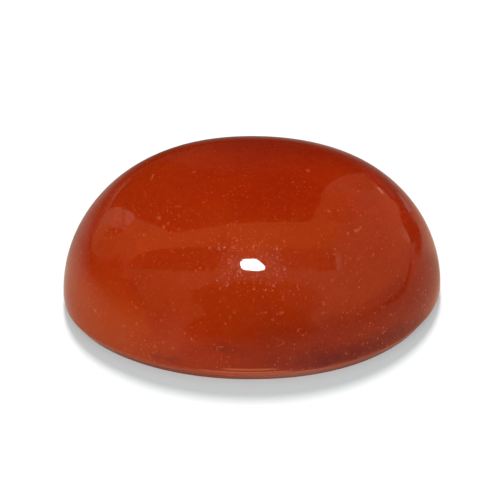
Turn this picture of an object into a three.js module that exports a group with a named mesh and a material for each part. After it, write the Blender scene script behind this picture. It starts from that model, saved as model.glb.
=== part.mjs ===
// An oval cabochon of carnelian: one stone with a high polished dome, a thin girdle, and a narrow
// bevel down to a flat base. Units are millimetres, +Z is up and the stone rests on its base at Z 0.
// X runs along the stone and +Y points to its back.
import * as THREE from "three";

// Driving dimensions of the cut.
const LENGTH = 16; // along X, at the girdle
const WIDTH = 12; // along Y, at the girdle
const DOME_RISE = 6.5; // from the top of the girdle to the crown
const BEVEL_HEIGHT = 0.5; // from the base up to the girdle
const GIRDLE_HEIGHT = 0.06; // the thin upright band at the widest line
const BASE_INSET = 0.36; // how far the bevel runs in under each end

// The dome's fullness: 2 in all three gives half an ellipsoid, and larger ones a boxier dome.
const END_FULLNESS = 2.38; // exponent of the long section, from end to end
const SIDE_FULLNESS = 2.18; // exponent of the cross section
const RISE_EXPONENT = 1.88; // exponent of the height in both sections

// The hand-cut outline, as departures from a true ellipse.
const SQUARENESS = 2.08; // exponent of the outline, 2 for a true ellipse
const FRONT_FULLNESS = 0.01; // share of the radius that the front bulges and the back is flattened
const SKEW = 0.005; // share of the radius by which opposite quarters differ
const SHOULDER_FULLNESS = 0.009; // share of the radius left standing at the front left shoulder
const SHOULDER_ANGLE = THREE.MathUtils.degToRad(205); // from +X towards +Y
const SHOULDER_SPREAD = THREE.MathUtils.degToRad(16);

const OUTLINE_STEPS = 96; // facets round the outline
const DOME_STEPS = 22; // rings from the girdle to the crown

const COLOUR = 0x9e2e0c;
const ROUGHNESS = 0.06;

const DOME_FOOT = BEVEL_HEIGHT + GIRDLE_HEIGHT;

// What is left of the section's footprint at a share of the dome's rise, before END_FULLNESS or
// SIDE_FULLNESS turns it into a half-length or a half-width.
function footprint(rise) {
  return Math.max(1 - rise ** RISE_EXPONENT, 0);
}

// The section of a round blank, from the middle of the base out to the girdle and up to the crown.
function blankSection() {
  const radius = LENGTH / 2;
  const section = [
    new THREE.Vector2(0, 0),
    new THREE.Vector2(radius - BASE_INSET, 0),
    new THREE.Vector2(radius, BEVEL_HEIGHT),
  ];
  for (let step = 0; step < DOME_STEPS; step++) {
    const rise = Math.sin((step / DOME_STEPS) * (Math.PI / 2));
    const halfLength = radius * footprint(rise) ** (1 / END_FULLNESS);
    section.push(new THREE.Vector2(halfLength, DOME_FOOT + rise * DOME_RISE));
  }
  section.push(new THREE.Vector2(0, DOME_FOOT + DOME_RISE));
  return section;
}

// The radius of the outline at an angle, as a share of the superellipse's own.
function handCut(angle) {
  const away = angle - SHOULDER_ANGLE;
  const turned = Math.atan2(Math.sin(away), Math.cos(away)) / SHOULDER_SPREAD;
  return (
    1 +
    FRONT_FULLNESS * Math.sin(3 * angle) +
    SKEW * Math.sin(4 * angle) +
    SHOULDER_FULLNESS * Math.exp(-turned * turned)
  );
}

// A signed power, so that all four quarters of the outline take the same formula.
function signedPower(value, exponent) {
  return Math.sign(value) * Math.abs(value) ** exponent;
}

// Turns the round blank into the oval of the stone. Its circles become copies of the outline, which
// narrow towards the crown a little faster across the stone than along it.
function shapeOval(geometry) {
  const position = geometry.getAttribute("position");
  for (let i = 0; i < position.count; i++) {
    const x = position.getX(i);
    const y = position.getY(i);
    const rise = Math.max((position.getZ(i) - DOME_FOOT) / DOME_RISE, 0);
    const narrowing = footprint(rise) ** (1 / SIDE_FULLNESS - 1 / END_FULLNESS);
    const angle = Math.atan2(y, x);
    const reach = Math.hypot(x, y) * handCut(angle);
    const across = reach * (WIDTH / LENGTH) * narrowing;
    position.setX(i, reach * signedPower(Math.cos(angle), 2 / SQUARENESS));
    position.setY(i, across * signedPower(Math.sin(angle), 2 / SQUARENESS));
  }
  return geometry;
}

// Brings the outline to its exact length and width, centred on the Z axis.
function trimToSize(geometry) {
  geometry.computeBoundingBox();
  const size = geometry.boundingBox.getSize(new THREE.Vector3());
  const centre = geometry.boundingBox.getCenter(new THREE.Vector3());
  geometry.translate(-centre.x, -centre.y, 0);
  geometry.scale(LENGTH / size.x, WIDTH / size.y, 1);
  geometry.computeVertexNormals();
  return geometry;
}

function carnelian() {
  const blank = new THREE.LatheGeometry(blankSection(), OUTLINE_STEPS);
  blank.rotateX(Math.PI / 2); // the lathe turns about Y, and the stone stands along Z
  const stone = new THREE.Mesh(
    trimToSize(shapeOval(blank)),
    new THREE.MeshStandardMaterial({ color: COLOUR, roughness: ROUGHNESS, metalness: 0 }),
  );
  stone.name = "carnelian";
  return stone;
}

const group = new THREE.Group();
group.add(carnelian());

export default group;
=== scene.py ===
import math

import bmesh
import bpy
import numpy as np
from mathutils import Matrix, Vector


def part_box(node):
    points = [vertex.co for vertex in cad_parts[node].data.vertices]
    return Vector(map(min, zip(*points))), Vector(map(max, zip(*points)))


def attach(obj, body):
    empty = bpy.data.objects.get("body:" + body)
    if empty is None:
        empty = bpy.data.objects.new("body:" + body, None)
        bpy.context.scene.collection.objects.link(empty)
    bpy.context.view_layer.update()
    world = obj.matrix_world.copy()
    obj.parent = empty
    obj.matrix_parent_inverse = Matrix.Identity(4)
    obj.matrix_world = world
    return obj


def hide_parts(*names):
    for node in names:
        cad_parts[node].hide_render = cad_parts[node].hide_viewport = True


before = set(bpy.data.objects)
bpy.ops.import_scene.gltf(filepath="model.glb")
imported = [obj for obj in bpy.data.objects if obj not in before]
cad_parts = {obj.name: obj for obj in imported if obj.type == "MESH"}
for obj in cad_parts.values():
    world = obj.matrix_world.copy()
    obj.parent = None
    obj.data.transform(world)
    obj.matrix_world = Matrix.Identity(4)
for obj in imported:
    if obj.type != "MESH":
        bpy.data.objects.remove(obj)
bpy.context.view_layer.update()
scene = bpy.context.scene
scene.view_settings.view_transform = "Standard"
MM = 0.001

# The camera. It looks down on the front of the stone at 35 degrees through a long lens, so that
# the oval hardly tapers towards the back. It is turned by less than a degree about its own axis.
CAMERA_ELEVATION = math.radians(35.15)
CAMERA_ROLL = math.radians(-0.80)
CAMERA_DISTANCE = 160 * MM
CAMERA_TARGET = Vector((-0.067, 0.0, 2.50)) * MM
CAMERA_LENS = 273.46
CAMERA_SENSOR = 36
CAMERA_NEAREST = 10 * MM

camera = bpy.data.objects.new("camera", bpy.data.cameras.new("camera"))
scene.collection.objects.link(camera)
scene.camera = camera
camera.data.lens = CAMERA_LENS
camera.data.sensor_width = CAMERA_SENSOR
camera.data.sensor_fit = "HORIZONTAL"
camera.data.clip_start = CAMERA_NEAREST
towards_camera = Vector((0, -math.cos(CAMERA_ELEVATION), math.sin(CAMERA_ELEVATION)))
camera.matrix_world = (
    Matrix.Translation(CAMERA_TARGET + CAMERA_DISTANCE * towards_camera)
    @ Matrix.Rotation(math.pi / 2 - CAMERA_ELEVATION, 4, "X")
    @ Matrix.Rotation(CAMERA_ROLL, 4, "Z")
)

# The studio round the stone: even light from a white tent, a soft lamp in front, and a lamp high
# behind that lights only the floor, so that the stone's shadow falls forward on it. What the polish
# mirrors comes from the cards further down, and from none of these.
TENT_LIGHT = 0.57
TENT_WHITE = 1.05


def by_ray(tree, otherwise, seen):
    """One value for what the camera sees directly, and another for all other light."""
    pick = tree.nodes.new("ShaderNodeMapRange")
    pick.inputs["To Min"].default_value = otherwise
    pick.inputs["To Max"].default_value = seen
    ray = tree.nodes.new("ShaderNodeLightPath")
    tree.links.new(ray.outputs["Is Camera Ray"], pick.inputs["Value"])
    return pick.outputs["Result"]


world = bpy.data.worlds.new("tent")
scene.world = world
world.use_nodes = True
world.cycles_visibility.glossy = False
sky = world.node_tree.nodes["Background"]
sky.inputs["Color"].default_value = (1, 1, 1, 1)
world.node_tree.links.new(by_ray(world.node_tree, TENT_LIGHT, TENT_WHITE), sky.inputs["Strength"])


def lamp(name, azimuth, elevation, width, level):
    """A distant soft lamp. Its level is what a white surface that faces it sends back."""
    data = bpy.data.lights.new(name, "SUN")
    data.energy = level * math.pi
    data.angle = math.radians(width)
    holder = bpy.data.objects.new(name, data)
    scene.collection.objects.link(holder)
    a, e = math.radians(azimuth), math.radians(elevation)
    towards = Vector((math.sin(a) * math.cos(e), -math.cos(a) * math.cos(e), math.sin(e)))
    holder.rotation_euler = towards.to_track_quat("Z", "Y").to_euler()
    holder.visible_glossy = False
    return holder


lamp("front_lamp", azimuth=-1, elevation=42, width=30, level=0.34)
shadow_lamp = lamp("shadow_lamp", azimuth=180, elevation=62, width=12, level=1.25)

# The floor: one large sheet of white acrylic, with a glow that only the camera sees, so that the
# shadow on it stays pale and even. What it sends to the stone is weaker than what the camera sees.
FLOOR_REACH = 3.0
FLOOR_WHITE = 0.45
FLOOR_FOR_STONE = 0.18
FLOOR_GLOW = 0.28
FLOOR_GLOW_TINT = (0.85, 0.99, 1.0)

floor_mesh = bpy.data.meshes.new("floor")
corners = [(-1, -1), (1, -1), (1, 1), (-1, 1)]
floor_mesh.from_pydata([(x * FLOOR_REACH, y * FLOOR_REACH, 0) for x, y in corners], [], [(0, 1, 2, 3)])
floor = bpy.data.objects.new("floor", floor_mesh)
scene.collection.objects.link(floor)
acrylic = bpy.data.materials.new("acrylic_sheet")
acrylic.use_nodes = True
acrylic.cycles.emission_sampling = "NONE"
tree = acrylic.node_tree
tree.nodes.clear()
out = tree.nodes.new("ShaderNodeOutputMaterial")
both = tree.nodes.new("ShaderNodeAddShader")
matt = tree.nodes.new("ShaderNodeBsdfDiffuse")
below = tree.nodes.new("ShaderNodeEmission")
below.inputs["Color"].default_value = (*FLOOR_GLOW_TINT, 1)
tree.links.new(by_ray(tree, FLOOR_FOR_STONE, FLOOR_WHITE), matt.inputs["Color"])
tree.links.new(by_ray(tree, 0, FLOOR_GLOW), below.inputs["Strength"])
tree.links.new(matt.outputs["BSDF"], both.inputs[0])
tree.links.new(below.outputs["Emission"], both.inputs[1])
tree.links.new(both.outputs["Shader"], out.inputs["Surface"])
floor_mesh.materials.append(acrylic)
floor.visible_glossy = False
only_floor = bpy.data.collections.new("lit_by_the_shadow_lamp")
only_floor.objects.link(floor)
shadow_lamp.light_linking.receiver_collection = only_floor

# What the polish mirrors, read from the stone's reflections and named for what each part may be: a
# tent's warm dim cloth, its dark opening, a dark camera and stand, the lamp. Only reflections see
# these cards. A corner is in degrees from straight up, to the right and towards the camera, with a
# share of its brightness.
TENT_CARDS = {
    # name: (distance in metres, red, green and blue, corners)
    "cloth": (0.95, (0.62, 0.31, 0.160), [
        (-92, -92, 0.7), (0, -92, 0.7), (92, -92, 1.1), (92, 0, 1.05), (92, 92, 1.0), (0, 92, 0.7),
        (-92, 92, 0.6)]),
    "cloth_left": (0.92, (0.50, 0.30, 0.110), [
        (-66, -59, 1), (-64, -42, 1), (-60, -17, 0.9), (-50, -9, 1.1), (-44, 0, 1.1), (-38, 13, 1),
        (-40, 27, 1), (-50, 22, 1), (-60, 19, 1), (-68, 20, 0.7), (-71, 6, 0.7), (-79, -2, 0.45),
        (-81, -14, 0.4), (-80, -30, 0.45), (-76, -44, 0.7), (-70, -56, 0.9)]),
    "cloth_left_dim": (0.91, (0.30, 0.17, 0.060), [
        (-72, -42, 1.6), (-66, -34, 1), (-61, -14, 1.3), (-64, -2, 1.6), (-72, 2, 1.3), (-80, -4, 0.9),
        (-81, -16, 0.8), (-80, -30, 0.9)]),
    "cloth_front": (0.90, (0.88, 0.30, 0.085), [
        (-44, 0, 1.3), (-38, 10, 1.2), (-20, 10, 1.1), (0, 8), (27, 5), (40, 2, 0.9), (44, 12, 1),
        (40, 27, 0.8), (24, 33, 0.9), (8, 37, 1.1), (-9, 37, 1.1), (-20, 34), (-50, 24, 1.2),
        (-62, 20, 1.2), (-56, 10, 1.3)]),
    "cloth_right_dim": (0.90, (0.60, 0.26, 0.085), [
        (24, -20, 0.9), (28, -28, 0.9), (38, -31, 0.9), (41, -31), (45, -19), (48, -4, 0.8), (40, 2, 0.8),
        (24, 9)]),
    "cloth_corner": (0.88, (0.40, 0.20, 0.075), [
        (30, -58, 0.9), (36, -64, 0.8), (46, -62, 0.8), (48, -53, 0.8), (46, -46, 0.5), (42, -41, 0.8),
        (34, -44, 1.2)]),
    "opening": (0.80, (0, 0, 0), [
        (-57, -60), (-54.8, -50), (-54, -41), (-52.5, -28), (-51.6, -19), (-49, -9), (-44, 0), (-40, 8),
        (-38, 13), (-32, 15), (-25, 16), (-12, 15), (-9, 14), (2, 13), (10, 13), (22, 10), (26, 8),
        (27, 1), (28, -10), (27, -22), (27.3, -30), (29.5, -38), (31.4, -46), (33.6, -56), (36.5, -63.5),
        (39, -70), (37.5, -75), (31, -85), (10, -92), (-15, -92), (-40, -80), (-47, -72)]),
    "opening_back": (0.78, (0.050, 0.040, 0.035), [
        (-30, -92, 0.6), (-22, -72, 0.9), (-16, -52, 0.9), (-8, -40, 0.5), (0, -36, 0.4), (11, -45, 0.5),
        (11, -70, 0.2), (14, -92, 0.3)]),
    "horizon_back": (0.76, (0.055, 0.045, 0.035), [
        (-46, -74, 1.6), (-24, -83, 0.6), (0, -85, 0.4), (18, -84, 0.6), (33, -76, 1), (38, -72, 1.2),
        (48, -66, 1.5), (57, -70, 1), (50, -77, 1), (20, -94, 0.7), (-20, -94, 0.4), (-48, -80, 1.2)]),
    "wedge": (0.75, (0.75, 0.50, 0.33), [
        (-68, -59, 0.40), (-59.5, -62, 0.5), (-56, -56, 0.65), (-54.2, -50, 0.75), (-53.8, -42, 0.85),
        (-53, -35, 0.9), (-52, -27.5, 0.9), (-51.2, -19, 1), (-52, -14, 1), (-55, -12.5, 0.9),
        (-60, -14.5, 0.7), (-65, -30, 0.8), (-64, -42, 0.75), (-69, -52, 0.5)]),
    "wedge_bright": (0.74, (0.80, 0.65, 0.50), [
        (-54, -39, 0.8), (-52.9, -34), (-51.9, -27), (-51.1, -19), (-52, -14), (-55, -12.5),
        (-57.6, -14, 0.9), (-57.6, -17.5), (-56, -25), (-54.2, -33)]),
    "wedge_line": (0.735, (0.26, 0.165, 0.100), [
        (-54, -42), (-54.4, -36), (-56.3, -27), (-58.2, -19.5), (-59.4, -13.3), (-60.8, -13.3),
        (-59.6, -19), (-57.7, -27), (-55.6, -36)]),
    "left_slot": (0.75, (0.10, 0.07, 0.04), [
        (-68, -36), (-66, -30), (-61, -17), (-60, -8), (-63, -12), (-70, -24)]),
    "left_dark": (0.72, (0.03, 0.025, 0.015), [
        (-78, -46), (-81, -38), (-82, -26), (-82, -12), (-80, -2), (-77, 4), (-72, 4), (-69, 10),
        (-70, 22), (-75, 26, 0.8), (-68, 36, 1.2), (-69, 47), (-67, 58), (-60, 66), (-64, 68), (-76, 52),
        (-86, 32), (-92, 10), (-92, -14), (-88, -30), (-82, -44)]),
    "front_dark_left": (0.75, (0.03, 0.025, 0.018), [
        (-67, 21, 0.6), (-60, 19, 0.6), (-50, 22, 0.8), (-40, 26), (-30, 29), (-20, 32, 1.3),
        (-10, 34, 2), (-14, 50, 2), (-22, 50, 1.3), (-31, 48), (-42, 44), (-49, 40, 0.8), (-55, 35, 0.6),
        (-62, 30, 0.6), (-67, 26, 0.6)]),
    "front_dark_right": (0.75, (0.12, 0.09, 0.065), [
        (8, 36, 1.2), (16, 34, 1.1), (25, 32, 0.9), (33, 29, 0.7), (40, 27, 0.6), (44, 30, 0.4),
        (47, 41, 0.4), (40, 45, 0.6), (31, 48, 0.8), (12, 50, 1.1)]),
    "streak": (0.70, (0.95, 0.58, 0.42), [
        (40, 25, 0.4), (46, 27, 0.7), (49, 31, 1), (51, 37, 1), (50, 42, 0.6), (48, 40, 0.9),
        (45, 31, 1)]),
    "front_left": (0.78, (0.34, 0.23, 0.085), [
        (-69, 30, 0.9), (-62, 29), (-55, 35, 1.1), (-42, 44, 1.3), (-22, 51, 1.3), (-25, 61, 1.1),
        (-34, 60, 1.1), (-37, 68, 0.9), (-31, 73, 0.8), (-33, 80, 0.8), (-45, 81, 0.9), (-55, 74, 0.8),
        (-66, 62, 0.7), (-69, 50, 0.7)]),
    "front_left_bright": (0.76, (0.50, 0.31, 0.150), [
        (-42, 45), (-22, 51), (-25, 61), (-34, 60), (-44, 55)]),
    "front_right": (0.78, (0.50, 0.31, 0.190), [
        (16, 50, 0.7), (31, 48), (40, 45), (47, 42), (54, 38, 0.8), (60, 42), (62, 56), (52, 64, 0.9),
        (43, 66, 0.8), (40, 61, 0.9), (22, 59, 0.8), (14, 56, 0.6)]),
    "front_right_dim": (0.77, (0.20, 0.14, 0.085), [
        (8, 58, 0.5), (22, 60, 0.8), (40, 61), (43, 70, 1.2), (38, 80), (30, 78, 0.6), (12, 76, 0.4)]),
    "column": (0.70, (0.012, 0.012, 0.008), [
        (-36, 61), (-23, 60), (-8, 60), (8, 61), (12, 66), (14, 74), (30, 77.5), (37, 80), (41.5, 84),
        (44.5, 92), (0, 92), (-34, 92), (-44, 89), (-46, 85), (-44, 81), (-33, 79), (-31, 73),
        (-37, 68)]),
    "right_dark": (0.72, (0.0, 0.0, 0.0), [
        (48.5, -77), (50.5, -75), (54, -69.8), (56.9, -65.0), (60.8, -59.7), (63.8, -55.3), (66.4, -50.4),
        (69.0, -47.2), (71.8, -45.2), (75.0, -43.7), (77.6, -42.7), (79.8, -41.6), (84, -44.5), (88, -47),
        (74, -64), (64, -74), (54, -80)]),
    "right_back_dim": (0.75, (0.10, 0.065, 0.045), [
        (37, -71), (38, -76), (46, -79, 1.4), (52, -75, 1.6), (57, -71, 1.2), (55, -67, 1.8),
        (51, -66, 2), (46, -65, 1.4), (42, -63), (38, -66)]),
    "right_bright": (0.74, (0.95, 0.68, 0.41), [
        (71.5, -42, 0.6), (75, -44.5, 0.7), (77.5, -43, 0.9), (80.5, -41.5), (80, -36, 0.7), (77, -34),
        (74, -31, 0.7), (71, -36, 0.5)]),
    "right_glint": (0.73, (1.6, 1.25, 0.95), [
        (46.0, -61.3, 0.7), (48.3, -62.2), (51.5, -60.5), (52.3, -58.6, 0.7), (51.3, -57.6),
        (49.4, -58.6), (47.2, -59.9)]),
    "right_back_dark": (0.725, (0.04, 0.03, 0.02), [
        (39, -68), (44, -65), (48, -64.5), (52, -63), (55.5, -61.5), (58, -63), (55, -67.5), (51, -69),
        (46, -70), (40, -71.5)]),
    "back_left_dim": (0.74, (0.12, 0.085, 0.060), [
        (-73, -52, 1.6), (-66, -57, 1.5), (-58, -62, 1.2), (-54, -67), (-47, -74), (-40, -79), (-44, -82),
        (-56, -74), (-66, -64), (-74, -56, 1.2)]),
    "back_left_streak": (0.73, (0.34, 0.23, 0.165), [
        (-57.3, -59.5), (-54.5, -62.8), (-50.5, -67.0), (-46.5, -70.2), (-43, -72.6, 0.8),
        (-39, -75.5, 0.5), (-36.5, -79, 0.35), (-41, -78.5, 0.5), (-46, -75, 0.8), (-50.5, -70.6),
        (-54.5, -66.2), (-58.5, -61)]),
    "front_fold": (0.74, (0.42, 0.13, 0.045), [
        (-13.5, 16), (-11, 15.5), (-11, 24), (-12.5, 31), (-15, 31), (-14, 24)]),
    "lamp": (0.60, (45, 45, 45), [
        (-6.3, 46.9), (-4.8, 44.4), (-3.1, 44.0), (0.4, 44.1), (2.2, 46.4), (4.7, 49.9), (4.0, 52.0),
        (1.2, 52.8), (-3.8, 51.9), (-5.8, 50.8)]),
}
# How often a card is split so that it curves, and the lowest that any of it hangs, in degrees.
CARD_SPLITS = 4
LOWEST_CARD = 89.9

glow = bpy.data.materials.new("card")
glow.use_nodes = True
tree = glow.node_tree
tree.nodes.clear()
out = tree.nodes.new("ShaderNodeOutputMaterial")
emit = tree.nodes.new("ShaderNodeEmission")
level = tree.nodes.new("ShaderNodeAttribute")
level.attribute_name = "glow"
tree.links.new(level.outputs["Color"], emit.inputs["Color"])
tree.links.new(emit.outputs["Emission"], out.inputs["Surface"])
lamp_glow = glow.copy()
lamp_glow.name = "lamp_card"
glow.cycles.emission_sampling = "NONE"
lamp_glow.cycles.emission_sampling = "FRONT_BACK"


def lit(colour, share=1):
    """What a corner of a card sends out: the card's colour times the corner's share."""
    return (*(part * share for part in colour), 1)


def cut_card(corners, colour):
    """A flat card. A corner is a place and, if it isn't 1, a share of the card's brightness."""
    shape = bmesh.new()
    layer = shape.verts.layers.float_color.new("glow")
    for place, *share in corners:
        shape.verts.new(place)[layer] = lit(colour, *share)
    bmesh.ops.triangulate(shape, faces=[shape.faces.new(shape.verts)])
    return shape


def hang(name, shape):
    """Puts a card up where only reflections see it. The lamp's card also lights each rough speck."""
    mesh = bpy.data.meshes.new("card_" + name)
    shape.to_mesh(mesh)
    shape.free()
    mesh.materials.append(lamp_glow if name == "lamp" else glow)
    card = bpy.data.objects.new("card_" + name, mesh)
    scene.collection.objects.link(card)
    card.visible_camera = card.visible_diffuse = card.visible_transmission = False
    card.visible_volume_scatter = card.visible_shadow = False


for name, (distance, colour, corners) in TENT_CARDS.items():
    shape = cut_card([((right, front, 0), *share) for right, front, *share in corners], colour)
    for _ in range(0 if name == "lamp" else CARD_SPLITS):
        bmesh.ops.subdivide_edges(shape, edges=shape.edges[:], cuts=1, use_grid_fill=True)
    for vert in shape.verts:
        right, front = vert.co.x, vert.co.y
        a, z = math.atan2(right, front), math.radians(min(math.hypot(right, front), LOWEST_CARD))
        vert.co = Vector((math.sin(a) * math.sin(z), -math.cos(a) * math.sin(z), math.cos(z))) * distance
    hang(name, shape)

# The floor as the polish mirrors it, set in each direction to match the stone's reflections:
# bright at the foot and dimmer outwards, soonest towards the camera, with a dark gap beyond, and dark
# under the stone's overhang. Azimuths are in degrees from the camera's side round to the right.
STONE_HALF_LENGTH, STONE_HALF_WIDTH = 8, 6
FLOOR_CARD_HEIGHT = 0.02 * MM
FLOOR_CARD_SPOKES = 240
FLOOR_CARD_STEPS = [-2, -0.6, -0.4, -0.3, -0.2, -0.1, 0, *np.geomspace(0.2, 950, 92)]
# Brightness at the foot, the mm over which it fades, brightness far off, then the dark gap: where it
# begins and ends, in mm from the foot, and how dark it is.
FLOOR_LIGHT = {
    -180: (0.27, 21, 0.01, 200, 300, 0), -175: (0.24, 20, 0.01, 200, 300, 0),
    -165: (0.25, 10, 0.00, 200, 300, 0), -155: (0.28, 15, 0.01, 200, 300, 0),
    -145: (0.36, 22, 0.03, 200, 300, 0), -135: (0.36, 18, 0.055, 200, 300, 0),
    -125: (0.28, 45, 0.01, 100, 3000, 0), -115: (0.32, 33, 0.00, 80, 3000, 1),
    -105: (0.41, 24, 0.00, 80, 3000, 1), -92: (0.34, 30, 0.02, 80, 3000, 0),
    -85: (0.32, 33, 0.02, 100, 3000, 0), -62: (0.22, 14, 0.02, 100, 3000, 0),
    -40: (0.225, 18, 0.08, 14, 3000, 0), -35: (0.24, 18, 0.18, 14, 3000, 0),
    -30: (0.24, 16, 0.18, 14, 3000, 0), -28: (0.23, 12, 0.02, 14, 3000, 1),
    -22: (0.23, 9, 0.02, 14, 3000, 1), 0: (0.22, 8, 0.00, 15, 3000, 1),
    23.5: (0.26, 11, 0.02, 16, 3000, 1), 26.5: (0.24, 11, 0.13, 16, 3000, 0),
    28.5: (0.22, 12, 0.15, 12, 25, 0.2), 45: (0.22, 12, 0.15, 12, 25, 0.2),
    62: (0.28, 10, 0.14, 12, 24, 0.45), 72: (0.32, 9, 0.15, 12, 20, 0.9),
    80: (0.33, 8.5, 0.15, 12.5, 20, 1), 85: (0.33, 9, 0.16, 14, 22, 1), 90: (0.30, 11, 0.18, 17, 26, 1),
    94.7: (0.28, 13, 0.19, 24, 37, 1), 98: (0.27, 15, 0.19, 31, 49, 1), 101: (0.27, 15, 0.18, 39, 61, 1),
    103.4: (0.27, 15, 0.18, 44, 67, 0.95), 105.7: (0.28, 16, 0.16, 46, 68, 0.6),
    107: (0.29, 18, 0.16, 15, 34, 0.3), 109: (0.30, 19, 0.16, 15, 34, 0.5),
    112: (0.34, 28, 0.20, 15, 48, 0.95), 115.7: (0.36, 30, 0.16, 15, 32, 0.9),
    119: (0.38, 27, 0.08, 15, 3000, 1), 122: (0.42, 20, 0.02, 15, 3000, 1),
    127: (0.41, 20, 0.02, 18, 3000, 0.9), 131: (0.42, 20, 0.00, 30, 3000, 0.5),
    136: (0.45, 16, 0.02, 100, 3000, 0), 146: (0.50, 15, 0.045, 200, 3000, 0),
    155: (0.32, 16, 0.075, 200, 3000, 0), 165: (0.36, 22, 0.035, 200, 3000, 0),
    175: (0.30, 22, 0.01, 200, 3000, 0), 180: (0.27, 21, 0.01, 200, 300, 0),
}
# The mm over which the far light comes up, and where the gap's soft ends start and stop, as shares of
# how far out each end lies.
FAR_LIGHT_RISE = 25
GAP_START_EDGE = (0.82, 1.12)
GAP_END_EDGE = (0.92, 1.10)
# Red, green and blue of this light, set to the colour of the stone's reflections, warmer at the right.
FLOOR_TINT = {
    30: (1.5, 1.22, 1), 60: (2.1, 1.36, 0.96), 108: (2.1, 1.36, 0.96), 130: (2.0, 1.25, 0.85),
    150: (1.5, 1.22, 1),
}
# Light close round the foot, which the ground bevel mirrors, and the mm over which it fades.
FOOT_GLOW = {-75: 0.20, -50: 0.06, -14: 0.06, 2: 0.22, 22: 0.22, 38: 0.10, 60: 0.10, 80: 0.20}
FOOT_GLOW_REACH = 0.5
# How far in under the stone it goes dark, in mm, and the share of the light that is left there.
OVERHANG, UNDER_OVERHANG = 0.42, 0.3


def on_floor(azimuth, foot, height):
    """The place that lies so many mm out from the stone's foot, at a height over the floor."""
    side, ahead = math.sin(math.radians(azimuth)), -math.cos(math.radians(azimuth))
    reach = foot + 1 / math.hypot(side / STONE_HALF_LENGTH, ahead / STONE_HALF_WIDTH)
    return side * reach * MM, ahead * reach * MM, height


def at_azimuth(table, azimuth):
    """The table's values for any azimuth, read between its two nearest rows."""
    return [float(np.interp(azimuth, list(table), column)) for column in zip(*table.values())]


shape = bmesh.new()
layer = shape.verts.layers.float_color.new("glow")
rows = []
for foot in FLOOR_CARD_STEPS:
    row = []
    for spoke in range(FLOOR_CARD_SPOKES):
        azimuth = spoke / FLOOR_CARD_SPOKES * 360 - 180
        at_foot, fade, far_off, gap_start, gap_end, depth = at_azimuth(FLOOR_LIGHT, azimuth)
        out_by = max(foot, 0.0)
        level = at_foot * math.exp(-out_by / fade) + far_off * (1 - math.exp(-out_by / FAR_LIGHT_RISE))
        edges = [edge * gap_start for edge in GAP_START_EDGE] + [edge * gap_end for edge in GAP_END_EDGE]
        level *= 1 - depth * float(np.interp(out_by, edges, (0, 1, 1, 0)))
        foot_glow = float(np.interp(azimuth, list(FOOT_GLOW), list(FOOT_GLOW.values())))
        level += foot_glow * math.exp(-out_by / FOOT_GLOW_REACH)
        level *= float(np.interp(foot, (-OVERHANG, 0), (UNDER_OVERHANG, 1)))
        vert = shape.verts.new(on_floor(azimuth, foot, FLOOR_CARD_HEIGHT))
        vert[layer] = lit(at_azimuth(FLOOR_TINT, azimuth), level)
        row.append(vert)
    rows.append(row)
for inner, outer in zip(rows, rows[1:]):
    for spoke in range(FLOOR_CARD_SPOKES):
        following = (spoke + 1) % FLOOR_CARD_SPOKES
        shape.faces.new((inner[spoke], outer[spoke], outer[following], inner[following]))
hang("floor", shape)

# A bright strip that the polish mirrors low at the back right, laid on the floor: azimuth and mm from
# the foot of each corner, with a share of its brightness.
STRIP_LIGHT = (0.50, 0.40, 0.33)
STRIP_CORNERS = [
    (133.5, 19, 0.7), (137, 17, 0.8), (141, 22, 0.8), (144.5, 38, 0.6), (142, 54, 0.35), (137.5, 38),
    (134, 32, 1.1)]
strip = [(on_floor(azimuth, foot, 2 * FLOOR_CARD_HEIGHT), *share) for azimuth, foot, *share in STRIP_CORNERS]
hang("strip", cut_card(strip, STRIP_LIGHT))

# The stone: one oval cabochon of carnelian, a translucent chalcedony, cut to a dome on a flat base
# and polished. Its bevel is duller, as if only ground, and the base is taken to be the same.
# All sizes are in mm, up to where the mesh is made.
BEVEL = 0.5
BAND = 0.06
DOME_RISE = 6.5
BASE_INSET = 0.36
EDGE_RADIUS = 0.05
END_FULLNESS, SIDE_FULLNESS, RISE_EXPONENT = 2.38, 2.18, 1.88
# The oval is a little squarer than an ellipse, and slightly uneven: fuller in front, askew by a hair,
# and with one fuller shoulder at the front left.
SQUARENESS = 2.08
FRONT_FULLNESS, SKEW, SHOULDER_FULLNESS = 0.01, 0.005, 0.009
SHOULDER_ANGLE, SHOULDER_SPREAD = math.radians(205), math.radians(16)
OUTLINE_STEPS = 512
BASE_RINGS, EDGE_RINGS, BEVEL_RINGS, DOME_RINGS = 12, 5, 8, 150
BASE_RING_CROWDING = 0.8
BASE_RINGS_STOP_SHORT = 0.03
# The lip between bevel and band is rounded a little: mm in from the outline, and mm above the bevel. The
# bevel's own last ring keeps just clear of it.
LIP_RINGS = [(0.0015, 0), (0, 0.012), (0, BAND / 2)]
BEVEL_STOPS_INSIDE, BEVEL_STOPS_BELOW = 0.006, 0.01

lowest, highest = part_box("carnelian")
length, width = (highest.x - lowest.x) / MM, (highest.y - lowest.y) / MM
half = length / 2

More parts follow.
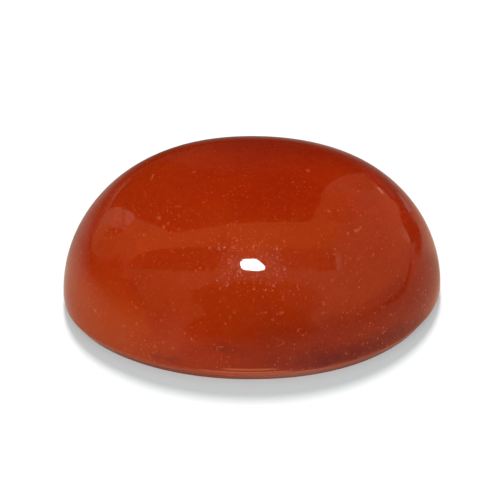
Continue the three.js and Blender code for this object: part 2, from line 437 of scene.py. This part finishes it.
# Rings from the middle of the base to the crown: share of the half-length, share of the
# half-width, height.
rings = []
for step in range(1, BASE_RINGS + 1):
    share = (step / BASE_RINGS) ** BASE_RING_CROWDING * (1 - (BASE_INSET + BASE_RINGS_STOP_SHORT) / half)
    rings.append((share, share, 0.0))
edge_turn = math.atan2(BEVEL, BASE_INSET)
edge_reach = EDGE_RADIUS * math.tan(edge_turn / 2)
for step in range(1, EDGE_RINGS + 1):
    turn = step / EDGE_RINGS * edge_turn
    share = 1 - (BASE_INSET + edge_reach - EDGE_RADIUS * math.sin(turn)) / half
    rings.append((share, share, EDGE_RADIUS * (1 - math.cos(turn))))
edge_top = EDGE_RADIUS * (1 - math.cos(edge_turn))
low = 1 - (BASE_INSET - edge_reach * math.cos(edge_turn)) / half
for step in range(1, BEVEL_RINGS):
    t = step / BEVEL_RINGS
    share = low + (1 - BEVEL_STOPS_INSIDE / half - low) * t
    rings.append((share, share, edge_top + (BEVEL - BEVEL_STOPS_BELOW - edge_top) * t))
for inset, above in LIP_RINGS:
    rings.append((1 - inset / half, 1 - inset / half, BEVEL + above))
for step in range(DOME_RINGS):
    rise = math.sin(step / DOME_RINGS * math.pi / 2)
    left = max(1 - rise**RISE_EXPONENT, 0)
    rings.append((left ** (1 / END_FULLNESS), left ** (1 / SIDE_FULLNESS), BEVEL + BAND + rise * DOME_RISE))
rings = np.array(rings)


def squared(part):
    """Bends a sine or cosine so that it draws the squarer oval."""
    return np.sign(part) * np.abs(part) ** (2 / SQUARENESS)


angle = np.linspace(0, 2 * math.pi, OUTLINE_STEPS, endpoint=False)
from_shoulder = np.angle(np.exp(1j * (angle - SHOULDER_ANGLE))) / SHOULDER_SPREAD
cut = 1 + FRONT_FULLNESS * np.sin(3 * angle) + SKEW * np.sin(4 * angle)
cut += SHOULDER_FULLNESS * np.exp(-(from_shoulder**2))
along = rings[:, 0, None] * cut * squared(np.cos(angle))
across = rings[:, 1, None] * cut * squared(np.sin(angle))
up = np.repeat(rings[:, 2, None], OUTLINE_STEPS, 1)
points = np.stack([along, across, up], -1).reshape(-1, 3)
points = np.vstack([points, [[0, 0, 0], [0, 0, BEVEL + BAND + DOME_RISE]]])
span = points.max(0) - points.min(0)
middle = (points.max(0) + points.min(0)) / 2
points[:, 0] = (points[:, 0] - middle[0]) * length / span[0]
points[:, 1] = (points[:, 1] - middle[1]) * width / span[1]

faces = []
count = len(rings)
base_middle, crown = count * OUTLINE_STEPS, count * OUTLINE_STEPS + 1
for i in range(OUTLINE_STEPS):
    j = (i + 1) % OUTLINE_STEPS
    faces.append((base_middle, j, i))
    faces.append((crown, (count - 1) * OUTLINE_STEPS + i, (count - 1) * OUTLINE_STEPS + j))
for ring in range(count - 1):
    row, above = ring * OUTLINE_STEPS, (ring + 1) * OUTLINE_STEPS
    for i in range(OUTLINE_STEPS):
        j = (i + 1) % OUTLINE_STEPS
        faces.append((row + i, row + j, above + j, above + i))
stone_mesh = bpy.data.meshes.new("carnelian_stone")
stone_mesh.from_pydata((points * MM).tolist(), [], faces)
stone_mesh.shade_smooth()
stone = bpy.data.objects.new("carnelian_stone", stone_mesh)
scene.collection.objects.link(stone)

# The stone's colour: deep orange red, warmer towards the front, livelier at both ends and lightest low
# at the left, browner to the right, with soft clouds and a brown purple streak along the front. The
# lively ends and the light part low at the left are painted glow, colour that stands in for light
# coming through the stone; the left end is partly its own lighter tone as well. The brown parts are
# partly the stone's own tone and partly painted shade.
DEEP = (0.440, 0.0230, 0.0014)
WARM = (0.462, 0.0364, 0.0020)
# The colours of both ends are painted glow, standing in for light coming through the thin ends; the left one
# is partly the stone's own lighter tone.
LEFT_END_TONE_AND_GLOW = (0.515, 0.0365, 0.0025)
RIGHT_END_GLOW = (0.525, 0.0300, 0.0024)
# The next colour is painted glow, lightest low at the left where light comes through; it also tints the pale
# clouds.
GLOW_AND_PALE_CLOUD = (0.595, 0.0740, 0.0060)
# The brown is partly the stone's own tone and partly painted shade, low down and to the right.
BROWN_AND_SHADE = (0.345, 0.0270, 0.0055)
STREAK = (0.225, 0.0150, 0.0080)
# Fine dust takes the stone's red; larger flecks and marks are paler, and so is ground stone. The dust
# colour also paints the glints round the lamp's highlight, the marks' colour also paints the glints
# along the lip, and the ground colour on the bevel is partly painted light on its downward face.
DUST_AND_GLINT = (1.0, 0.180, 0.062)
MARK_AND_GLINT = (0.95, 0.26, 0.10)
GROUND_AND_BEVEL_LIGHT = (0.92, 0.105, 0.022)
POLISH_ROUGHNESS, SMEAR_ROUGHNESS, DUST_ROUGHNESS = 0.032, 0.008, 0.38
BEVEL_ROUGHNESS, BASE_ROUGHNESS = (0.12, 0.30), (0.36, 0.56)
REFRACTIVE_INDEX = 1.54
# How far red, green and blue light go inside the stone, in mm.
LIGHT_REACH = (1.0, 0.35, 0.15)
LIGHT_REACH_SCALE = 1.2

# The lines below are: from, to, then the half-widths of the sure and the soft part, all in mm. The
# streak runs low along the front right, and the dark lines are spots to the left of it. They may lie
# in the stone or be mirrored in it, which one photo can't tell; here they are colour.
STREAK_LINES = [
    ((0.90, -5.96, 1.00), (2.00, -5.83, 0.94), -0.75, 0.50),
    ((2.00, -5.83, 0.94), (2.75, -5.66, 0.95), -0.35, 0.65),
    ((2.75, -5.66, 0.95), (4.25, -5.11, 0.95), 0.00, 0.80),
    ((4.25, -5.11, 0.95), (5.26, -4.52, 0.85), 0.00, 0.75),
    ((5.26, -4.52, 0.85), (6.29, -3.64, 0.75), 0.00, 0.62),
    ((6.29, -3.64, 0.75), (7.10, -2.70, 0.70), -0.15, 0.55),
]
DARK_LINES = [
    ((-1.45, -5.77, 1.72), (-1.05, -5.85, 1.60), -0.16, 0.42),
    ((-1.05, -5.85, 1.60), (-0.40, -5.92, 1.52), -0.45, 0.42),
    ((-2.90, -5.55, 1.20), (-1.80, -5.74, 1.60), -0.70, 0.46),
    ((-3.95, -5.20, 0.85), (-3.10, -5.47, 0.85), -0.30, 0.50),
]
# The largest pale marks on the polish: from, to, half-width in mm, and strength.
PALE_MARKS = [
    ((-4.03, 0.06, 6.33), (-4.13, -0.22, 6.27), 0.055, 0.40),
    ((-4.36, -0.80, 6.12), (-4.33, -1.20, 6.05), 0.036, 0.16),
    ((-3.12, -2.12, 6.20), (-2.90, -2.17, 6.25), 0.042, 0.22),
    ((-3.57, 0.57, 6.51), (-3.57, 0.57, 6.51), 0.065, 0.30),
    ((-2.35, -0.51, 6.85), (-2.35, -0.51, 6.85), 0.085, 0.30),
    ((-3.83, -2.32, 5.82), (-3.83, -2.32, 5.82), 0.090, 0.26),
    ((-3.60, -2.73, 5.66), (-3.60, -2.73, 5.66), 0.080, 0.28),
    ((-4.40, -2.70, 5.26), (-4.40, -2.70, 5.26), 0.065, 0.25),
    ((3.93, -2.92, 5.35), (3.99, -2.92, 5.32), 0.055, 0.34),
    ((4.27, -2.72, 5.29), (4.50, -2.50, 5.29), 0.050, 0.25),
    ((4.27, -2.72, 5.29), (4.33, -2.68, 5.29), 0.065, 0.36),
    ((2.37, -0.51, 6.83), (2.37, -0.51, 6.83), 0.085, 0.30),
    ((3.19, -2.34, 6.06), (3.19, -2.34, 6.06), 0.075, 0.30),
    ((1.73, -4.05, 5.21), (1.99, -4.01, 5.19), 0.036, 0.20),
    ((4.98, -3.13, 4.40), (4.98, -3.13, 4.40), 0.065, 0.28),
    ((4.34, -3.59, 4.46), (4.34, -3.59, 4.46), 0.070, 0.28),
    ((7.50, -1.14, 2.25), (7.50, -1.14, 2.25), 0.070, 0.35),
    ((-6.56, -3.26, 1.87), (-6.50, -3.34, 1.82), 0.055, 0.55),
    ((-5.38, -4.28, 1.77), (-5.28, -4.34, 1.78), 0.065, 0.24),
    ((-4.87, -4.29, 2.76), (-4.75, -4.38, 2.72), 0.040, 0.22),
    ((-4.06, -5.10, 1.32), (-4.02, -5.12, 1.33), 0.080, 0.34),
    ((-3.67, -5.22, 1.59), (-3.67, -5.22, 1.59), 0.065, 0.30),
    ((-3.33, -5.37, 1.41), (-3.30, -5.38, 1.42), 0.060, 0.30),
    ((-1.40, -5.79, 1.75), (-1.22, -5.82, 1.72), 0.045, 0.32),
    ((-0.74, -5.43, 3.20), (-0.74, -5.43, 3.20), 0.075, 0.28),
    ((1.13, -5.43, 3.16), (1.18, -5.42, 3.17), 0.075, 0.28),
    ((0.79, -5.55, 2.92), (0.84, -5.55, 2.91), 0.065, 0.22),
    ((5.34, -4.41, 1.26), (5.44, -4.33, 1.32), 0.048, 0.34),
    ((1.00, -5.85, 1.78), (1.28, -5.79, 1.93), 0.042, 0.24),
    ((3.83, -5.30, 0.97), (3.87, -5.29, 0.88), 0.045, 0.26),
]
MARK_SOFTNESS = 1.5
DUSTIEST = (0.0, -5.6, 3.0)
# Where the lamp's highlight falls on the front, seen from the camera's side. Rough dust close to it
# shows as glints brighter than any in the photo, so its roughness and relief are left off there. A
# ring of fine warm specks round it is given as colour, which stays on the stone in every view.
# The warm specks round the highlight are painted glints, colour that stands in for dust lit by the lamp.
LAMP_SPOT = ((-0.24, -4.40, 4.98), (0.34, -4.49, 4.87))
PIT = ((-6.64, -3.19, 1.86), (-6.60, -3.24, 1.85))

carnelian = bpy.data.materials.new("carnelian")
carnelian.use_nodes = True
tree = carnelian.node_tree
shader = tree.nodes["Principled BSDF"]


def add(tree, kind, *values, **settings):
    """A node with its settings, and its inputs set or linked in order. None leaves one as it is."""
    made = tree.nodes.new("ShaderNode" + kind)
    for key, value in settings.items():
        setattr(made, key, value)
    for socket, value in zip([i for i in made.inputs if i.enabled], values):
        if isinstance(value, bpy.types.NodeSocket):
            tree.links.new(value, socket)
        elif value is not None:
            socket.default_value = value
    return made


def maths(tree, operation, *values):
    return add(tree, "Math", *values, operation=operation).outputs[0]


def vector(tree, operation, *values):
    return add(tree, "VectorMath", *values, operation=operation).outputs[0]


def ramp(value, low, high, at_low=0.0, at_high=1.0):
    """Goes smoothly from at_low to at_high as the value goes from low to high."""
    made = add(tree, "MapRange", value, low, high, at_low, at_high, interpolation_type="SMOOTHSTEP")
    return made.outputs[0]


def near(value, middle, outer, inner):
    """1 where the value is within inner of the middle, falling to 0 at outer."""
    return ramp(maths(tree, "ABSOLUTE", maths(tree, "SUBTRACT", value, middle)), outer, inner)


def times(*values):
    got = values[0]
    for value in values[1:]:
        got = maths(tree, "MULTIPLY", got, value)
    return got


def either(*masks):
    got = masks[0]
    for mask in masks[1:]:
        got = maths(tree, "MAXIMUM", got, mask)
    return got


def blend(share, first, second):
    first, second = ((*c, 1) if isinstance(c, tuple) else c for c in (first, second))
    return add(tree, "Mix", share, first, second, data_type="RGBA").outputs[2]


def mix(share, first, second):
    return add(tree, "Mix", share, first, second, data_type="FLOAT").outputs[0]


def noise(place, per_mm, detail=2.0, stretch=None):
    if stretch:
        place = vector(tree, "MULTIPLY", place, stretch)
    return add(tree, "TexNoise", place, per_mm, detail, noise_dimensions="3D")


def cloudy(place, per_mm, detail, *ends):
    """A noise, taken through a ramp."""
    return ramp(noise(place, per_mm, detail).outputs["Fac"], *ends)


# A soft-edged line through the stone from one point to another, all in mm.
line = bpy.data.node_groups.new("line", "ShaderNodeTree")
LINE_INPUTS = {"Point": "Vector", "Start": "Vector", "End": "Vector", "Inner": "Float", "Outer": "Float"}
for name, kind in LINE_INPUTS.items():
    line.interface.new_socket(name, in_out="INPUT", socket_type="NodeSocket" + kind)
line.interface.new_socket("Mask", in_out="OUTPUT", socket_type="NodeSocketFloat")
inside = line.nodes.new("NodeGroupInput").outputs
run = vector(line, "SUBTRACT", inside["End"], inside["Start"])
away = vector(line, "SUBTRACT", inside["Point"], inside["Start"])
dot = add(line, "VectorMath", away, run, operation="DOT_PRODUCT").outputs["Value"]
square = add(line, "VectorMath", run, run, operation="DOT_PRODUCT").outputs["Value"]
share = add(line, "Clamp", maths(line, "DIVIDE", dot, maths(line, "MAXIMUM", square, 1e-6))).outputs[0]
nearest = vector(line, "SCALE", run, share)
apart = add(line, "VectorMath", vector(line, "SUBTRACT", away, nearest), operation="LENGTH").outputs["Value"]
mask = add(
    line, "MapRange", apart, inside["Inner"], inside["Outer"], 1.0, 0.0, interpolation_type="SMOOTHSTEP")
line.links.new(mask.outputs[0], line.nodes.new("NodeGroupOutput").inputs["Mask"])


def line_mask(place, start, end, inner, outer):
    made = tree.nodes.new("ShaderNodeGroup")
    made.node_tree = line
    tree.links.new(place, made.inputs["Point"])
    made.inputs["Start"].default_value, made.inputs["End"].default_value = start, end
    made.inputs["Inner"].default_value, made.inputs["Outer"].default_value = inner, outer
    return made.outputs["Mask"]


def dust_mask(place, per_mm, smallest, largest, rarity, shift, stretch=(1, 1, 1)):
    """Round specks, one in each cell of space, of which only those that touch the surface show."""
    cells = add(tree, "TexVoronoi", vector(tree, "MULTIPLY_ADD", place, stretch, shift), per_mm)
    chance = add(tree, "SeparateColor", cells.outputs["Color"]).outputs[0]
    size = times(maths(tree, "POWER", chance, rarity), (largest - smallest) * per_mm)
    size = maths(tree, "ADD", size, smallest * per_mm)
    return ramp(maths(tree, "DIVIDE", cells.outputs["Distance"], size), 1.0, 0.1)


def off_lamp_spot(inner, outer):
    """0 on the lamp's spot and round it, out to inner, and 1 beyond outer."""
    return maths(tree, "SUBTRACT", 1.0, line_mask(place, *LAMP_SPOT, inner, outer))


# Places in mm, as they are and as noise moves them: bent far and smoothly for the body's colours,
# frayed for the streak, and only shaken for what lies on the polish.
place = vector(tree, "SCALE", tree.nodes.new("ShaderNodeTexCoord").outputs["Object"], 1 / MM)
x, y, z = add(tree, "SeparateXYZ", place).outputs
drift = vector(tree, "SUBTRACT", noise(place, 0.4, 1.0).outputs["Color"], (0.5, 0.5, 0.5))
fine_drift = vector(tree, "SUBTRACT", noise(place, 3.0, 3.0).outputs["Color"], (0.5, 0.5, 0.5))
bent = vector(tree, "MULTIPLY_ADD", drift, (2.6, 2.6, 1.6), place)
bent_x, bent_y, bent_z = add(tree, "SeparateXYZ", bent).outputs
shaken = vector(tree, "MULTIPLY_ADD", fine_drift, (0.24, 0.24, 0.24), place)
frayed = vector(tree, "MULTIPLY_ADD", fine_drift, (0.2, 0.2, 0.2), place)
frayed = vector(tree, "MULTIPLY_ADD", drift, (0.5, 0.5, 0.9), frayed)

# The body of the stone: the front, the crown, both ends with their painted glow, the browner right side,
# partly painted shade, the painted glow low at the left, clouds, the streak and the dark spots. The
# ramps go by place, in mm.
colour = blend(ramp(bent_y, -1.9, -4.0), DEEP, WARM)
colour = blend(times(ramp(bent_y, -0.6, 1.2, 0.0, 0.23), ramp(y, 2.1, 1.1)), colour, STREAK)
# The left end: partly its own lighter tone, partly painted glow.
colour = blend(ramp(bent_x, 1.0, -5.5), colour, LEFT_END_TONE_AND_GLOW)
# The right end: painted glow, standing in for light coming through the thin end.
right_end_glow = times(
    ramp(bent_x, 0.5, 7.0), ramp(bent_y, -3.4, -0.4, 0.0, 1.1), ramp(bent_y, 1.4, -0.4, 0.3, 1.0))
colour = blend(right_end_glow, colour, RIGHT_END_GLOW)
# Browner low down and to the right: partly the stone's own tone, partly painted shade.
brown_and_shade = times(ramp(bent_z, 4.2, 2.1), ramp(bent_z, 0.6, 2.0, 0.85, 1.0), ramp(bent_x, -3.3, 3.2), 0.76)
brown_and_shade = either(brown_and_shade, times(ramp(bent_x, 2.5, 5.5), ramp(bent_y, 0.5, -1.5), 0.26))
colour = blend(brown_and_shade, colour, BROWN_AND_SHADE)
# Lightest low at the left: painted glow, standing in for light coming through the stone.
colour = blend(times(ramp(bent_z, 4.0, 1.8), ramp(bent_x, -1.5, -7.0)), colour, GLOW_AND_PALE_CLOUD)
clouds = noise(bent, 0.45, 3.0).outputs["Fac"]
colour = blend(ramp(clouds, 0.50, 0.70, 0.0, 0.09), colour, STREAK)
colour = blend(ramp(clouds, 0.47, 0.30, 0.0, 0.12), colour, GLOW_AND_PALE_CLOUD)
streak = either(*(line_mask(frayed, *spec) for spec in STREAK_LINES))
colour = blend(times(streak, cloudy(place, 1.6, 3.0, 0.3, 0.6, 0.62, 0.88)), colour, STREAK)
dark = either(*(line_mask(shaken, *spec) for spec in DARK_LINES))
colour = blend(times(dark, cloudy(place, 3.0, 3.0, 0.3, 0.6, 0.40, 0.65)), colour, STREAK)

# The specks on the polish, which may be dust or fine pits, thickest low on the front and towards both
# ends. For each kind: cells to a mm, the smallest and largest speck in mm, how rare large ones are,
# and what sets its pattern.
from_dustiest = add(tree, "VectorMath", place, DUSTIEST, operation="DISTANCE").outputs["Value"]
crowd = times(
    cloudy(place, 0.9, 2.0, 0.40, 0.60, 0.40, 1.25), ramp(from_dustiest, 7.5, 2.5, 0.75, 1.0),
    ramp(maths(tree, "ABSOLUTE", x), 2.0, 5.0, 0.78, 1.08), ramp(y, -3.6, 0.5, 1.0, 0.74),
    ramp(z, 3.2, 1.6, 1.0, 1.28))
haze = dust_mask(shaken, 8.0, 0.015, 0.070, 0.8, (0.3, 4.4, 7.1))
painted_glint_specks = dust_mask(shaken, 7.5, 0.020, 0.078, 0.8, (5.2, 1.9, 3.6))
fine = dust_mask(shaken, 6.0, 0.012, 0.080, 1.0, (3.1, 0.7, 5.3))
coarse = dust_mask(shaken, 2.6, 0.010, 0.110, 1.6, (1.7, 8.2, 0.4))
fibres = dust_mask(shaken, 2.2, 0.004, 0.060, 2.0, (2.9, 6.1, 1.6), (0.3, 0.8, 1))
haze = times(haze, off_lamp_spot(0.27, 0.40), 0.8)
# Painted glints: warm specks round the lamp's highlight, colour that stands in for dust lit by the lamp.
painted_glint_specks = times(painted_glint_specks, line_mask(place, *LAMP_SPOT, 0.50, 1.4), 0.42)
specks = times(fine, crowd, 0.36)
flecks = times(either(times(coarse, 0.30), times(fibres, 0.28)), crowd)
rough_dust = times(either(specks, flecks), off_lamp_spot(0.35, 0.95))
mottle = cloudy(shaken, 4.0, 3.0, 0.42, 0.66, 0.0, 0.03)
marks = either(*(
    times(line_mask(shaken, start, end, 0.0, MARK_SOFTNESS * wide), strength)
    for start, end, wide, strength in PALE_MARKS))

# The ground bevel and base with their grinding lines; the bevel's pale colour is partly ground stone
# and partly painted light on its downward face. The pale lines over the bevel are painted glints: a
# faint one along the lip all round, and two along the middle of the front.
bevel = ramp(z, BEVEL + 0.005, BEVEL - 0.015)
base = ramp(z, 0.04, 0.015)
bevel_lines = noise(place, 1.0, 5.0, (0.8, 0.8, 26)).outputs["Fac"]
base_lines = noise(place, 1.0, 5.0, (2.0, 22, 1)).outputs["Fac"]
patchy = noise(place, 1.4, 4.0, (1, 1, 0.15)).outputs["Fac"]
# Painted glints along the lip, colour that stands in for light caught by the rounded edge.
lip_glints = times(near(z, BEVEL + 0.045, 0.055, 0.02), ramp(patchy, 0.42, 0.60, 0.02, 0.16))
upper_lip_glint = times(near(z, BEVEL + 0.20, 0.065, 0.025), ramp(x, -1.5, -0.9), ramp(x, 1.2, 0.6), 0.95)
front_lip_glints = times(
    either(near(z, BEVEL + 0.05, 0.06, 0.025), upper_lip_glint), ramp(y, -2.0, -4.0), ramp(x, -2.7, -1.7),
    ramp(x, 2.2, 0.9), ramp(patchy, 0.3, 0.5, 0.36, 0.54))
lip_glints = either(lip_glints, front_lip_glints)
# The bevel's colour: ground stone, made brighter as painted light on its downward face.
bevel_ground_and_light = times(
    bevel, ramp(bevel_lines, 0.35, 0.65, 0.55, 0.71), ramp(x, 1.5, 5.0, 1.0, 0.75),
    ramp(x, -1.0, -2.6, 1.0, 0.84))
colour = blend(bevel_ground_and_light, colour, GROUND_AND_BEVEL_LIGHT)
colour = blend(times(base, ramp(base_lines, 0.35, 0.65, 0.3, 0.6)), colour, GROUND_AND_BEVEL_LIGHT)
# Dust specks and mottling, and the painted glints round the lamp's highlight.
colour = blend(either(mottle, specks, painted_glint_specks), colour, DUST_AND_GLINT)
# Pale flecks and marks, and the painted glints along the lip.
colour = blend(either(flecks, marks, lip_glints), colour, MARK_AND_GLINT)
tree.links.new(colour, shader.inputs["Base Color"])

# How rough it is: a clear polish with faint smears, duller under dust, marks and haze, and ground
# on the bevel and the base.
rough = maths(tree, "ADD", cloudy(place, 0.8, 5.0, 0.40, 0.70, 0.0, SMEAR_ROUGHNESS), POLISH_ROUGHNESS)
dull = either(add(tree, "Clamp", times(rough_dust, 2.1)).outputs[0], haze, times(marks, 1.5))
rough = mix(dull, rough, DUST_ROUGHNESS)
rough = mix(bevel, rough, ramp(bevel_lines, 0.3, 0.7, *BEVEL_ROUGHNESS))
rough = mix(base, rough, ramp(base_lines, 0.3, 0.7, *BASE_ROUGHNESS))
tree.links.new(rough, shader.inputs["Roughness"])

# Shallow relief, in mm, its depths guessed: a slight waviness, dust that stands up, one tiny pit by
# the pale mark at the left, and the grinding lines.
height = times(noise(place, 0.55, 1.0).outputs["Fac"], 0.006)
pit = line_mask(place, *PIT, 0.03, 0.12)
lines_on_bevel, lines_on_base = times(bevel, bevel_lines, 0.010), times(base, base_lines, 0.012)
for relief in (times(rough_dust, 0.014), times(pit, -0.035), lines_on_bevel, lines_on_base):
    height = maths(tree, "ADD", height, relief)
bump = add(tree, "Bump")
bump.inputs["Distance"].default_value = MM
tree.links.new(height, bump.inputs["Height"])
tree.links.new(bump.outputs["Normal"], shader.inputs["Normal"])

# Light goes a little way into the stone and comes out again redder.
shader.inputs["IOR"].default_value = REFRACTIVE_INDEX
shader.inputs["Subsurface Weight"].default_value = 1.0
shader.inputs["Subsurface Radius"].default_value = LIGHT_REACH
shader.inputs["Subsurface Scale"].default_value = LIGHT_REACH_SCALE * MM
stone_mesh.materials.append(carnelian)

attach(stone, "root")
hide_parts("carnelian")
